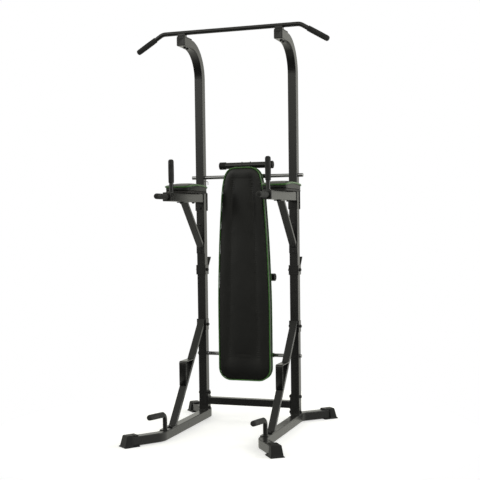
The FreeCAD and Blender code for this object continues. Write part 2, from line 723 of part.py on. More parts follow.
def bench_frame():
    """Spine tube, two straps, the hinge and lock sleeves, the end bar and the leg ears."""
    strap_y = BENCH_FRONT + BENCH_FOAM + BENCH_BOARD
    spine_y = strap_y + STRAP
    middle = spine_y + SPINE_DEPTH / 2
    spine = square_tube(
        [V(0, middle, BENCH_LOW + 40), V(0, middle, END_BAR_Z - 6)],
        V(1, 0, 0), width=SPINE_WIDTH, depth=SPINE_DEPTH, corner=3.0,
    )
    pieces = [spine]
    for z, half in ((BENCH_LOW + 130, 110.0), (820.0, 100.0), (1340.0, 80.0)):
        strap = block((-half, half), (strap_y, spine_y), (z - 20, z + 20))
        pieces.append(rounded(strap, 8.0, V(0, 1, 0)))
    pieces.append(rod(V(-HINGE_SLEEVE, UPRIGHT_Y, HINGE_Z), V(HINGE_SLEEVE, UPRIGHT_Y, HINGE_Z), SLEEVE_R))
    pieces.append(rod(V(-LOCK_SLEEVE, UPRIGHT_Y, LOCK_Z), V(LOCK_SLEEVE, UPRIGHT_Y, LOCK_Z), SLEEVE_R))
    bar_end = END_BAR_HALF - CAP
    bar_ends = (V(-bar_end, END_BAR_Y, END_BAR_Z), V(bar_end, END_BAR_Y, END_BAR_Z))
    pieces.append(rod(bar_ends[0], bar_ends[1], ROUND_BAR_R))
    inner = LEG_WIDTH / 2 + EAR_GAP
    rear = spine_y + SPINE_DEPTH
    for s in (-1.0, 1.0):
        ear = block((s * inner, s * (inner + EAR)), (rear - 1, LEG_Y), (LEG_PIVOT_Z - 16, LEG_PIVOT_Z + 16))
        knuckle = rod(V(s * inner, LEG_Y, LEG_PIVOT_Z), V(s * (inner + EAR), LEG_Y, LEG_PIVOT_Z), 16.0)
        pieces.append(ear.fuse(knuckle))
    frame = union(pieces)
    bore = ROD_R + RUNNING_FIT
    frame = frame.cut(rod(V(-300, UPRIGHT_Y, HINGE_Z), V(300, UPRIGHT_Y, HINGE_Z), bore))
    frame = frame.cut(rod(V(-300, UPRIGHT_Y, LOCK_Z), V(300, UPRIGHT_Y, LOCK_Z), bore))
    frame = frame.cut(rod(bar_ends[0], bar_ends[1], ROUND_BAR_R - WALL))
    pivot = rod(V(-60, LEG_Y, LEG_PIVOT_Z), V(60, LEG_Y, LEG_PIVOT_Z), LEG_BOLT_R)
    return frame.cut(pivot)


def round_cap(s, half, y, z):
    """Rubber cap over one end of a round bar."""
    inner = V(s * (half - ROUND_CAP_LENGTH), y, z)
    outer = V(s * half, y, z)
    skin = rod(inner, outer, ROUND_CAP_R)
    rims = [edge for edge in skin.Edges if len(edge.Vertexes) == 1]
    skin = skin.makeFillet(3.0, rims)
    return skin.cut(rod(inner, outer - V(s * CAP, 0, 0), ROUND_BAR_R))


def leg_frame():
    """Leg tube with a foot bar across its free end, hanging from the pivot when folded."""
    foot_z = LEG_PIVOT_Z - LEG_LENGTH
    tube = square_tube(
        [V(0, LEG_Y, LEG_PIVOT_Z + LEG_END), V(0, LEG_Y, foot_z)],
        V(1, 0, 0), width=LEG_WIDTH, depth=LEG_DEPTH, corner=3.0,
    )
    bar_end = LEG_BAR_HALF - CAP
    bar_ends = (V(-bar_end, LEG_Y, foot_z), V(bar_end, LEG_Y, foot_z))
    leg = union([tube, rod(bar_ends[0], bar_ends[1], ROUND_BAR_R)])
    leg = leg.cut(rod(bar_ends[0], bar_ends[1], ROUND_BAR_R - WALL))
    bore = LEG_BOLT_R + RUNNING_FIT
    return leg.cut(rod(V(-60, LEG_Y, LEG_PIVOT_Z), V(60, LEG_Y, LEG_PIVOT_Z), bore))


def leg_pivot_bolt():
    end = LEG_WIDTH / 2 + EAR_GAP + EAR
    shank = rod(V(-end, LEG_Y, LEG_PIVOT_Z), V(end, LEG_Y, LEG_PIVOT_Z), LEG_BOLT_R)
    heads = [hexagon(V(s * end, LEG_Y, LEG_PIVOT_Z), V(s, 0, 0), 16.0, 6.0) for s in (-1.0, 1.0)]
    return union([shank] + heads)


# ---- build every node -------------------------------------------------------
for tag, s in SIDES:
    add("base_tube_" + tag, base_tube(s))
    add("foot_cap_front_" + tag, foot_cap(s, FRONT_TOE, FRONT_BEND))
    add("foot_cap_rear_" + tag, foot_cap(s, REAR_TOE, REAR_BEND))
    add("lower_upright_" + tag, lower_upright(s))
    add("upper_upright_" + tag, upper_upright(s))
    add("front_strut_" + tag, front_strut(s))
    add("step_" + tag, step(s))
    add("arm_" + tag, arm(s))
    add("arm_strut_" + tag, arm_strut(s))
    add("arm_pad_" + tag, arm_pad(s))
    add("vertical_handle_" + tag, vertical_handle(s))
    add("vertical_grip_" + tag, vertical_grip(s))
    add("dip_handle_" + tag, dip_handle(s))
    add("dip_grip_" + tag, dip_grip(s))
    add("pullup_grip_" + tag, pullup_grip(s))
    add("pushup_handle_" + tag, pushup_handle(s))
    add("pushup_grip_" + tag, pushup_grip(s))
    add("barbell_hook_" + tag, barbell_hook(s))
    add("lock_pin_" + tag, lock_pin(s))

BOTH = [s for _, s in SIDES]
ARCH_MIDDLE = ARCH_TOP - TUBE / 2
ARM_MIDDLE = ARM_LOW + TUBE / 2
add("upright_spigots", *[spigot(s) for s in BOTH])
add("upright_end_caps", *[end_cap(s, ARCH_END, ARCH_MIDDLE) for s in BOTH])
add("arm_end_caps", *[end_cap(s, ARM_FRONT + CAP, ARM_MIDDLE) for s in BOTH])
add("lower_crossbar", crossbar())
add("crossbar_bolts", *crossbar_bolts())
add("strut_bolts", *[head for s in BOTH for head in strut_bolts(s)])
add("arm_clamp_plates", *[clamp_plate(s) for s in BOTH])
add("arm_bolts", *[head for s in BOTH for head in arm_bolts(s)])
add("arm_pad_boards", *[arm_board(s) for s in BOTH])
add("pullup_bar", pullup_bar())
add("bar_mounts", *[bar_mount(s) for s in BOTH])
add("mount_bolts", *[head for s in BOTH for head in mount_bolts(s)])
add("hook_bolts", *[head for s in BOTH for head in hook_bolts(s)])
add("hinge_axle", hinge_axle())
add("pin_clip", pin_clip())
add("bench_frame", bench_frame())
add("bench_board", bench_board())
add("bench_pad", bench_pad())
add("bench_end_caps", *[round_cap(s, END_BAR_HALF, END_BAR_Y, END_BAR_Z) for s in BOTH])
add("leg_frame", leg_frame())
add("leg_end_caps", *[round_cap(s, LEG_BAR_HALF, LEG_Y, LEG_PIVOT_Z - LEG_LENGTH) for s in BOTH])
add("leg_pivot_bolt", leg_pivot_bolt())

os.makedirs("parts", exist_ok=True)
for name, shape in NODES.items():
    shape.exportStep("parts/" + name + ".step")
    if not shape.isValid() or len(shape.Solids) == 0:
        print("broken shape", name)
print(len(NODES), "nodes")
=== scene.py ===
"""Looks of a power tower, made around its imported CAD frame.

Metres throughout: +X to the tower's right, +Y to its rear, +Z up, and the floor at Z = 0.
"""
import json
import math

import bmesh
import bpy
import numpy as np
from mathutils import Matrix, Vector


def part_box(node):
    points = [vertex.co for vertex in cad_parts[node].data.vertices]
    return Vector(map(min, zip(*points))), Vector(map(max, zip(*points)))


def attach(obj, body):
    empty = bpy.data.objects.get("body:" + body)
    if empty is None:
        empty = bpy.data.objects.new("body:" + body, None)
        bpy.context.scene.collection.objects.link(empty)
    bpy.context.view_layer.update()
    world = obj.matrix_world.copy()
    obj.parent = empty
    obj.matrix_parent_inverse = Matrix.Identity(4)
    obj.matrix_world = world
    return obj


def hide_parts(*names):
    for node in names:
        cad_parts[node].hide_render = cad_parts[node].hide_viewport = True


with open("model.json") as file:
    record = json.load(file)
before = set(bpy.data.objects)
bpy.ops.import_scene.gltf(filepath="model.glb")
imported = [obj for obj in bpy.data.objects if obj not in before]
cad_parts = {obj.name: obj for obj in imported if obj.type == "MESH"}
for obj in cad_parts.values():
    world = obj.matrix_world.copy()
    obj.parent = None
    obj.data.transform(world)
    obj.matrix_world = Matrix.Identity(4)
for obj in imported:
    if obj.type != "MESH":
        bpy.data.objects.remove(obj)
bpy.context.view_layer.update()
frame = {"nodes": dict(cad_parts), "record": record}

MM = 0.001
SIDES = (("L", -1.0), ("R", 1.0))
UP = np.array([0.0, 0.0, 1.0])
REAR = np.array([0.0, 1.0, 0.0])
RIGHT = np.array([1.0, 0.0, 0.0])


def low_high(node):
    """Lowest and highest corner of a CAD node, as arrays."""
    low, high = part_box(node)
    return np.array(low), np.array(high)


# ---- camera -------------------------------------------------------------------
CAMERA_AZIMUTH = math.radians(19.012)
CAMERA_PITCH = math.radians(3.063)
CAMERA_ROLL = math.radians(-0.755)
CAMERA_DISTANCE = 5.8816
CAMERA_LENS = 73.8
CAMERA_SHIFT = 0.0734
CAMERA_TARGET = np.array([-0.0504, 0.305, 0.8759])


def make_camera():
    """Camera that looks along the azimuth and pitch at the target, turned a little about its own axis."""
    a = CAMERA_AZIMUTH
    p = CAMERA_PITCH
    r = CAMERA_ROLL
    forward = np.array([-math.sin(a) * math.cos(p), math.cos(a) * math.cos(p), -math.sin(p)])
    level = np.array([math.cos(a), math.sin(a), 0.0])
    upward = np.cross(level, forward)
    across = math.cos(r) * level + math.sin(r) * upward
    upright = -math.sin(r) * level + math.cos(r) * upward
    place = CAMERA_TARGET - forward * CAMERA_DISTANCE
    turned = np.eye(4)
    turned[:3, 0] = across
    turned[:3, 1] = upright
    turned[:3, 2] = -forward
    turned[:3, 3] = place
    data = bpy.data.cameras.new("camera")
    data.lens = CAMERA_LENS
    data.sensor_width = 36.0
    data.shift_y = CAMERA_SHIFT
    data.clip_end = 100.0
    camera = bpy.data.objects.new("camera", data)
    bpy.context.scene.collection.objects.link(camera)
    camera.matrix_world = Matrix(turned.tolist())
    bpy.context.scene.camera = camera


make_camera()
bpy.context.scene.view_settings.view_transform = "Standard"


# ---- shader maths -----------------------------------------------------------
class Value:
    """A number that varies over a surface. Arithmetic on it adds Math nodes."""

    def __init__(self, shader, socket):
        self.shader = shader
        self.socket = socket

    def maths(self, operation, first, second=0.0):
        return self.shader.node("Math", {"operation": operation}, {0: first, 1: second})

    def __add__(self, other):
        return self.maths("ADD", self, other)

    def __radd__(self, other):
        return self.maths("ADD", other, self)

    def __sub__(self, other):
        return self.maths("SUBTRACT", self, other)

    def __rsub__(self, other):
        return self.maths("SUBTRACT", other, self)

    def __mul__(self, other):
        return self.maths("MULTIPLY", self, other)

    def __rmul__(self, other):
        return self.maths("MULTIPLY", other, self)

    def sine(self):
        return self.maths("SINE", self)

    def above(self, edge, blend):
        """0 below edge - blend, 1 above edge + blend, with a smooth step between."""
        settings = {"interpolation_type": "SMOOTHSTEP"}
        values = {"Value": self, "From Min": edge - blend, "From Max": edge + blend}
        return self.shader.node("MapRange", settings, values)


class Shader:
    """One procedural material, with its Principled shader."""

    def __init__(self, name):
        self.material = bpy.data.materials.new(name)
        self.material.use_nodes = True
        self.tree = self.material.node_tree
        self.surface = self.tree.nodes["Principled BSDF"]

    def node(self, kind, settings, values, output=0):
        """Add a node: its settings first, then the values or links of its inputs."""
        made = self.tree.nodes.new("ShaderNode" + kind)
        for key, setting in settings.items():
            setattr(made, key, setting)
        for key, value in values.items():
            self.feed(made.inputs[key], value)
        return Value(self, made.outputs[output])

    def feed(self, socket, value):
        if isinstance(value, Value):
            self.tree.links.new(value.socket, socket)
        else:
            socket.default_value = value

    def place(self, scale=(1.0, 1.0, 1.0)):
        """Object coordinates in metres, stretched by scale."""
        spot = self.node("TexCoord", {}, {}, "Object")
        return self.node("Mapping", {}, {"Vector": spot, "Scale": scale})

    def own(self, attribute):
        """A number stored on the mesh."""
        return self.node("Attribute", {"attribute_name": attribute}, {}, "Fac")

    def noise(self, size, detail=2.0, roughness=0.5, spot=None):
        """Noise between 0 and 1 whose blobs are about size metres across."""
        vector = self.place() if spot is None else spot
        values = {"Vector": vector, "Scale": 1.0 / size, "Detail": detail, "Roughness": roughness}
        return self.node("TexNoise", {}, values, "Fac")

    def cells(self, size, feature="F1", spot=None):
        """Distance from the nearest of scattered points about size metres apart."""
        vector = self.place() if spot is None else spot
        values = {"Vector": vector, "Scale": 1.0 / size}
        return self.node("TexVoronoi", {"feature": feature}, values, "Distance")

    def mix(self, share, first, second):
        """Colour between first and second."""
        settings = {"data_type": "RGBA"}
        made = self.tree.nodes.new("ShaderNodeMix")
        for key, setting in settings.items():
            setattr(made, key, setting)
        self.feed(made.inputs[0], share)
        self.feed(made.inputs[6], first)
        self.feed(made.inputs[7], second)
        return Value(self, made.outputs[2])

    def relief(self, height, depth, strength=1.0):
        """Bump from a height between 0 and 1 that stands for depth metres."""
        normal = self.node("Bump", {}, {"Height": height, "Distance": depth, "Strength": strength}, "Normal")
        self.feed(self.surface.inputs["Normal"], normal)

    def finish(self, **values):
        """Set or link inputs of the Principled shader; underscores stand for spaces."""
        for key, value in values.items():
            self.feed(self.surface.inputs[key.replace("_", " ")], value)
        return self.material


def rgb(red, green, blue):
    return (red, green, blue, 1.0)


def powder_coat():
    """Semi-gloss black powder coat with fine orange peel and a little dust."""
    s = Shader("black powder coat")
    peel = s.noise(1.3 * MM, 1.0) * 0.75 + s.noise(5.0 * MM, 1.0) * 0.25
    cloud = s.noise(0.12, 4.0, 0.6)
    dust = s.noise(0.6 * MM, 0.0).above(0.78, 0.04) * cloud.above(0.55, 0.15)
    s.relief(peel, 0.09 * MM)
    colour = s.mix(cloud, rgb(0.0060, 0.0060, 0.0062), rgb(0.0090, 0.0089, 0.0088))
    return s.finish(
        Base_Color=s.mix(dust * 0.35, colour, rgb(0.06, 0.06, 0.058)),
        Roughness=0.24 + cloud * 0.07 + dust * 0.2,
        Specular_IOR_Level=0.5,
    )


def bolt_black():
    """Blackened steel fasteners with rubbed, brighter patches."""
    s = Shader("blackened steel")
    grain = s.noise(0.9 * MM, 2.0)
    rubbed = s.noise(3.0 * MM, 3.0, 0.7).above(0.62, 0.1)
    s.relief(grain, 0.06 * MM)
    return s.finish(
        Base_Color=s.mix(rubbed, rgb(0.016, 0.016, 0.017), rgb(0.06, 0.06, 0.062)),
        Metallic=0.35 + rubbed * 0.4,
        Roughness=0.42 - rubbed * 0.12 + grain * 0.06,
    )


def bright_steel():
    """Polished plated rod with faint drawing lines round it and light scuffs."""
    s = Shader("plated rod")
    lines = s.noise(0.5 * MM, 2.0, 0.5, s.place((1.0, 0.05, 0.05)))
    scuff = s.noise(8.0 * MM, 5.0, 0.7).above(0.6, 0.12)
    s.relief(lines, 0.012 * MM)
    return s.finish(
        Base_Color=s.mix(scuff, rgb(0.32, 0.32, 0.33), rgb(0.22, 0.22, 0.23)),
        Metallic=1.0,
        Roughness=0.16 + scuff * 0.12 + lines * 0.05,
    )


def grip_foam():
    """Matte black closed-cell foam: fine open pores on a slightly uneven skin."""
    s = Shader("grip foam")
    pores = s.cells(1.1 * MM).above(0.28, 0.2)
    dents = s.noise(9.0 * MM, 3.0)
    s.relief(pores * 0.6 + dents * 0.4, 0.28 * MM)
    worn = s.noise(30.0 * MM, 4.0).above(0.55, 0.2)
    return s.finish(
        Base_Color=s.mix(worn, rgb(0.009, 0.009, 0.009), rgb(0.015, 0.015, 0.0145)),
        Roughness=0.78 - worn * 0.08,
        Specular_IOR_Level=0.42,
    )


def boot_rubber():
    """Moulded black rubber with a matte, faintly mottled skin."""
    s = Shader("moulded rubber")
    grain = s.noise(0.8 * MM, 2.0) * 0.6 + s.cells(2.2 * MM) * 0.4
    bloom = s.noise(25.0 * MM, 4.0, 0.6)
    s.relief(grain, 0.12 * MM)
    return s.finish(
        Base_Color=s.mix(bloom, rgb(0.0045, 0.0045, 0.0044), rgb(0.0085, 0.0085, 0.0082)),
        Roughness=0.44 + bloom * 0.12,
        Specular_IOR_Level=0.22,
    )


def cap_plastic():
    """Moulded black plastic, spark-eroded grain."""
    s = Shader("moulded plastic")
    grain = s.noise(0.7 * MM, 3.0, 0.7)
    patch = s.noise(15.0 * MM, 2.0)
    s.relief(grain, 0.07 * MM)
    return s.finish(
        Base_Color=s.mix(patch, rgb(0.007, 0.007, 0.007), rgb(0.011, 0.011, 0.011)),
        Roughness=0.40 + grain * 0.12,
    )


def pad_vinyl():
    """Black upholstery vinyl: pebbled grain, soft sheen, and short puckers that run into the seams."""
    s = Shader("black vinyl")
    pebble = s.cells(1.9 * MM, "SMOOTH_F1") * 0.7 + s.noise(0.8 * MM, 2.0) * 0.3
    near = 1.0 - s.own("seam_distance").above(0.010, 0.010)
    gather = (s.own("seam_along") * (2.0 * math.pi / 0.011) + s.noise(0.03) * 9.0).sine()
    stretch = s.noise(0.09, 3.0, 0.55)
    s.relief(pebble * 0.16 + gather * near * 0.42 + stretch * 0.4, 0.9 * MM, 0.8)
    return s.finish(
        Base_Color=s.mix(stretch, rgb(0.0026, 0.0027, 0.0026), rgb(0.0048, 0.0049, 0.0046)),
        Roughness=0.34 + stretch * 0.10 + pebble * 0.05,
        Specular_IOR_Level=0.36,
    )


def piping_vinyl():
    """Green welt cord covered in vinyl, with the small creases of its wrap."""
    s = Shader("green piping")
    crease = (s.own("seam_along") * (2.0 * math.pi / 0.006) + s.noise(0.02) * 6.0).sine()
    shade = s.noise(0.05, 3.0)
    s.relief(crease * 0.5 + s.noise(0.7 * MM, 2.0) * 0.5, 0.25 * MM)
    return s.finish(
        Base_Color=s.mix(shade, rgb(0.022, 0.085, 0.011), rgb(0.036, 0.125, 0.018)),
        Roughness=0.27 + shade * 0.1,
    )


def black_plywood():
    """Black stained plywood with open, darker grain along the board."""
    s = Shader("stained plywood")
    grain = s.noise(2.2 * MM, 5.0, 0.65, s.place((1.0, 1.0, 0.06)))
    pores = s.noise(0.7 * MM, 1.0, 0.5, s.place((1.0, 1.0, 0.03))).above(0.62, 0.08)
    s.relief(grain * 0.5 + (1.0 - pores) * 0.5, 0.2 * MM)
    return s.finish(
        Base_Color=s.mix(grain, rgb(0.006, 0.0055, 0.005), rgb(0.015, 0.013, 0.012)),
        Roughness=0.62 + grain * 0.16,
    )


FINISHES = {
    "frame_black": powder_coat(),
    "fasteners": bolt_black(),
    "bright_rod": bright_steel(),
    "grip_foam": grip_foam(),
    "boot_rubber": boot_rubber(),
    "cap_plastic": cap_plastic(),
    "pad_vinyl": pad_vinyl(),
    "board": black_plywood(),
}
PIPING = piping_vinyl()

for part in frame["record"]["subparts"]:
    cad = frame["nodes"][part["node"]]
    cad.data.materials.clear()
    cad.data.materials.append(FINISHES[part["material_slot"]])


# ---- mesh making ------------------------------------------------------------
def build(name, points, faces, body, slot, material=None):
    """Closed mesh object of welded points and quads, smoothly shaded, which rides on a body."""
    mesh = bpy.data.meshes.new(name)
    mesh.from_pydata(points.reshape(-1, 3), [], faces)
    work = bmesh.new()
    work.from_mesh(mesh)
    bmesh.ops.remove_doubles(work, verts=work.verts, dist=1e-6)
    bmesh.ops.recalc_face_normals(work, faces=work.faces)
    work.to_mesh(mesh)
    work.free()
    mesh.shade_smooth()
    piece = bpy.data.objects.new(name, mesh)
    bpy.context.scene.collection.objects.link(piece)
    mesh.materials.append(material or FINISHES[slot])
    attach(piece, body)
    return piece


def grid_faces(rows, columns, round_rows=False, round_columns=False):
    """Quads between neighbours of a grid of points, wrapped where it is a loop."""
    index = np.arange(rows * columns).reshape(rows, columns)
    if round_rows:
        index = np.vstack([index, index[:1]])
    if round_columns:
        index = np.hstack([index, index[:, :1]])
    corners = (index[:-1, :-1], index[:-1, 1:], index[1:, 1:], index[1:, :-1])
    return np.stack([c.ravel() for c in corners], axis=1)


def tube_surface(grid, closed_path):
    """Points and faces of rings joined along a path, with a fan at each open end."""
    rows, columns = grid.shape[:2]
    faces = grid_faces(rows, columns, closed_path, True).tolist()
    points = grid.reshape(-1, 3)
    if not closed_path:
        points = np.vstack([points, grid[0].mean(0), grid[-1].mean(0)])
        here = np.arange(columns)
        there = np.roll(here, -1)
        last = (rows - 1) * columns
        first_fan = np.stack([there, here, np.full(columns, rows * columns)], axis=1)
        last_fan = np.stack([here + last, there + last, np.full(columns, rows * columns + 1)], axis=1)
        faces += first_fan.tolist() + last_fan.tolist()
    return points, faces


def unit(vectors):
    return vectors / np.linalg.norm(vectors, axis=-1, keepdims=True)


def along(path):
    """Distance run at each point of a path."""
    steps = np.linalg.norm(np.diff(path, axis=0), axis=1)
    return np.concatenate([[0.0], np.cumsum(steps)])


def carried(path, section, across, closed=False, scale=None):
    """Section points (a, b) at each path point: a to the side of travel, b along across.

    Scale is one number per path point.
    """
    if closed:
        travel = np.roll(path, -1, axis=0) - np.roll(path, 1, axis=0)
    else:
        travel = np.gradient(path, axis=0)
    side = unit(np.cross(travel, across))
    size = np.ones((len(path), 1)) if scale is None else np.reshape(scale, (len(path), 1))
    a = section[None, :, 0] * size
    b = section[None, :, 1] * size
    return path[:, None, :] + a[..., None] * side[:, None, :] + b[..., None] * across


def circle(radius, count):
    """Ring of points, radius times cosine and sine."""
    turn = np.arange(count) * 2.0 * math.pi / count
    return radius * np.stack([np.cos(turn), np.sin(turn)], axis=1)


def rounded_box(width, height, radius, count=5, spacing=None):
    """Rectangle with quarter-circle corners, centred; spacing adds points along its straight sides."""
    turn = np.linspace(0.0, math.pi / 2.0, count)
    arc = radius * np.stack([np.cos(turn), np.sin(turn)], axis=1)
    corners = []
    for quarter, (sx, sy) in enumerate(((1, 1), (-1, 1), (-1, -1), (1, -1))):
        c = math.cos(quarter * math.pi / 2)
        s = math.sin(quarter * math.pi / 2)
        spun = arc @ np.array([[c, s], [-s, c]])
        corners.append(spun + np.array([sx * (width / 2 - radius), sy * (height / 2 - radius)]))
    loop = np.vstack(corners)
    return loop if spacing is None else evened(loop, spacing)


def evened(loop, spacing):
    """Closed loop resampled at even steps along its length."""
    ring = np.vstack([loop, loop[:1]])
    run = along(ring)
    count = max(8, int(round(run[-1] / spacing)))
    at = np.arange(count) * run[-1] / count
    return np.stack([np.interp(at, run, ring[:, k]) for k in range(ring.shape[1])], axis=1)


def softened(loop, passes):
    """Closed loop with each point moved towards its two neighbours, several times over."""
    for _ in range(passes):
        loop = (np.roll(loop, 1, axis=0) + 2.0 * loop + np.roll(loop, -1, axis=0)) / 4.0
    return loop


def rounded_route(points, radius, count=9):
    """Polyline with a circular arc of radius at each inner corner."""
    points = [np.array(p, float) for p in points]
    route = [points[0]]
    for before, corner, after in zip(points, points[1:], points[2:]):
        back = unit(before - corner)
        ahead = unit(after - corner)
        half = math.acos(float(np.clip(back @ ahead, -1.0, 1.0))) / 2.0
        reach = radius / math.tan(half)
        middle = corner + unit(back + ahead) * radius / math.sin(half)
        start = corner + back * reach - middle
        end = corner + ahead * reach - middle
        sweep = math.acos(float(np.clip(start @ end / radius ** 2, -1.0, 1.0)))
        t = np.linspace(0.0, 1.0, count)[:, None]
        arc = (np.sin((1 - t) * sweep) * start + np.sin(t * sweep) * end) / math.sin(sweep)
        route += list(middle + arc)
    route.append(points[-1])
    return np.array(route)


def numbers(piece, name, values):
    """Store one number per vertex, for the piece's shader."""
    layer = piece.data.attributes.new(name, "FLOAT", "POINT")
    layer.data.foreach_set("value", np.ascontiguousarray(values, np.float32))


def coordinates(mesh):
    flat = np.empty(len(mesh.vertices) * 3, np.float32)
    mesh.vertices.foreach_get("co", flat)
    return flat.reshape(-1, 3).astype(float)


# ---- padded pieces ----------------------------------------------------------
def rim_of(node, axis, level, spacing):
    """Outline of a CAD node where it reaches a level on one axis, as an evenly spaced closed loop."""
    points = coordinates(frame["nodes"][node].data)
    flat = points[np.abs(points[:, axis] - level) < 0.5 * MM]
    keep = [k for k in range(3) if k != axis]
    plan = np.unique(np.round(flat[:, keep], 6), axis=0)
    middle = (plan.min(axis=0) + plan.max(axis=0)) / 2
    reach = np.ptp(plan, axis=0) / 2
    turn = np.arctan2((plan[:, 1] - middle[1]) / reach[1], (plan[:, 0] - middle[0]) / reach[0])
    return evened(plan[np.argsort(turn)], spacing)


def spine_points(plan):
    """For each outline point, the nearest point of the straight spine along the longer side."""
    low, high = plan.min(axis=0), plan.max(axis=0)
    middle = (low + high) / 2
    long_way = int(np.argmax(high - low))
    half = (high - low)[1 - long_way] / 2
    spine = np.tile(middle, (len(plan), 1))
    spine[:, long_way] = np.clip(plan[:, long_way], low[long_way] + half, high[long_way] - half)
    return spine


def cushion_shell(plan, levels, place):
    """Closed form of rings: each level is (share of the way in to the spine, height), placed in space."""
    spine = spine_points(plan)
    rings = []
    for share, height in levels:
        flat = plan + (spine - plan) * share
        rings.append(place(flat, np.full(len(flat), height)))
    return tube_surface(np.array(rings), False)


NEAREST_CHUNK = 4000        # points compared at a time, to save memory


def nearest(points, line):
    """Distance from each point to the nearest of the line's points, and which one that is."""
    distance = np.empty(len(points))
    which = np.empty(len(points), int)
    for start in range(0, len(points), NEAREST_CHUNK):
        part_of = slice(start, start + NEAREST_CHUNK)
        gap = np.linalg.norm(points[part_of, None, :] - line[None], axis=2)
        which[part_of] = gap.argmin(axis=1)
        distance[part_of] = gap.min(axis=1)
    return distance, which


def evaluated(piece):
    """Mesh of a piece with its modifiers worked out."""
    bpy.context.view_layer.update()
    graph = bpy.context.evaluated_depsgraph_get()
    return bpy.data.meshes.new_from_object(piece.evaluated_get(graph), depsgraph=graph)


def remeshed(piece, voxel):
    """Rebuild a closed piece in even quads of one voxel."""
    remesh = piece.modifiers.new("voxels", "REMESH")
    remesh.mode = "VOXEL"
    remesh.voxel_size = voxel
    fresh = evaluated(piece)
    piece.modifiers.clear()
    fresh.materials.clear()
    fresh.materials.append(piece.data.materials[0])
    piece.data = fresh
    piece.data.shade_smooth()


def inflated(piece, held, cap, pressure=4.0, frames=20):
    """Blow the cover up like cloth from inside; held points stay and no point moves more than cap."""
    start = coordinates(piece.data)
    group = piece.vertex_groups.new(name="held")
    for index in np.nonzero(held)[0].tolist():
        group.add([index], 1.0, "REPLACE")
    cover = piece.modifiers.new("cover", "CLOTH")
    cover.settings.quality = 4
    cover.settings.mass = 0.25
    cover.settings.tension_stiffness = 12.0
    cover.settings.compression_stiffness = 12.0
    cover.settings.shear_stiffness = 5.0
    cover.settings.bending_stiffness = 0.4
    cover.settings.use_pressure = True
    cover.settings.uniform_pressure_force = pressure
    cover.settings.vertex_group_mass = "held"
    cover.settings.effector_weights.gravity = 0.0
    cover.collision_settings.use_collision = False
    for step in range(1, frames + 1):
        bpy.context.scene.frame_set(step)
    moved = coordinates(evaluated(piece)) - start
    piece.modifiers.clear()
    bpy.context.scene.frame_set(1)
    length = np.linalg.norm(moved, axis=1, keepdims=True)
    limited = moved * cap * np.tanh(length / cap) / np.maximum(length, 1e-9)
    piece.data.vertices.foreach_set("co", (start + limited).astype(np.float32).ravel())
    piece.vertex_groups.clear()
    piece.data.update()


def shaped(piece, points):
    piece.data.vertices.foreach_set("co", np.ascontiguousarray(points, np.float32).ravel())
    piece.data.update()


def seam_numbers(piece, seams):
    """Store how far each point is from the nearest seam, and how far along that seam it lies."""
    points = coordinates(piece.data)
    line = np.vstack(seams)
    run = np.concatenate([along(seam) for seam in seams])
    distance, which = nearest(points, line)
    numbers(piece, "seam_distance", distance)
    numbers(piece, "seam_along", run[which])


def finer(piece, levels=1):
    """Subdivision surface, the same in the viewport and the render."""
    smooth = piece.modifiers.new("smooth", "SUBSURF")
    smooth.levels = levels
    smooth.render_levels = levels


def welt(name, loop, radius, across, body):
    """Piping: a round cord wrapped in vinyl, carried along a closed seam."""
    ripple = 1.0 + 0.035 * np.sin(np.arange(len(loop)) * 1.7) + 0.03 * np.sin(np.arange(len(loop)) * 0.61)
    grid = carried(loop, circle(radius, 10), across, True, ripple)
    points, faces = tube_surface(grid, True)
    piece = build(name, points, faces, body, "pad_vinyl", PIPING)
    line = coordinates(piece.data)
    _, which = nearest(line, loop)
    numbers(piece, "seam_along", along(loop)[which])
    return piece


BENCH_VOXEL = 7.0 * MM
BENCH_INSET = 3.0 * MM      # how far inside the CAD outline the cover starts
BENCH_SWELL = 9.0 * MM
BENCH_SEAM = 6.0 * MM       # from the front face back to the front seam
PIPING_R = 3.9 * MM
REAR_PIPING_R = 3.2 * MM
CHANNEL_DEPTH = 6.0 * MM
CHANNEL_WIDTH = 8.0 * MM
CHANNEL_SHARE = (0.47, 0.58)        # of the half width, at the top and at the bottom
CHANNEL_FADE_LOW = (0.10, 0.14)     # start and length of the fade, from the lower end
CHANNEL_FADE_TOP = (0.045, 0.08)
CHANNEL_POINTS = 160


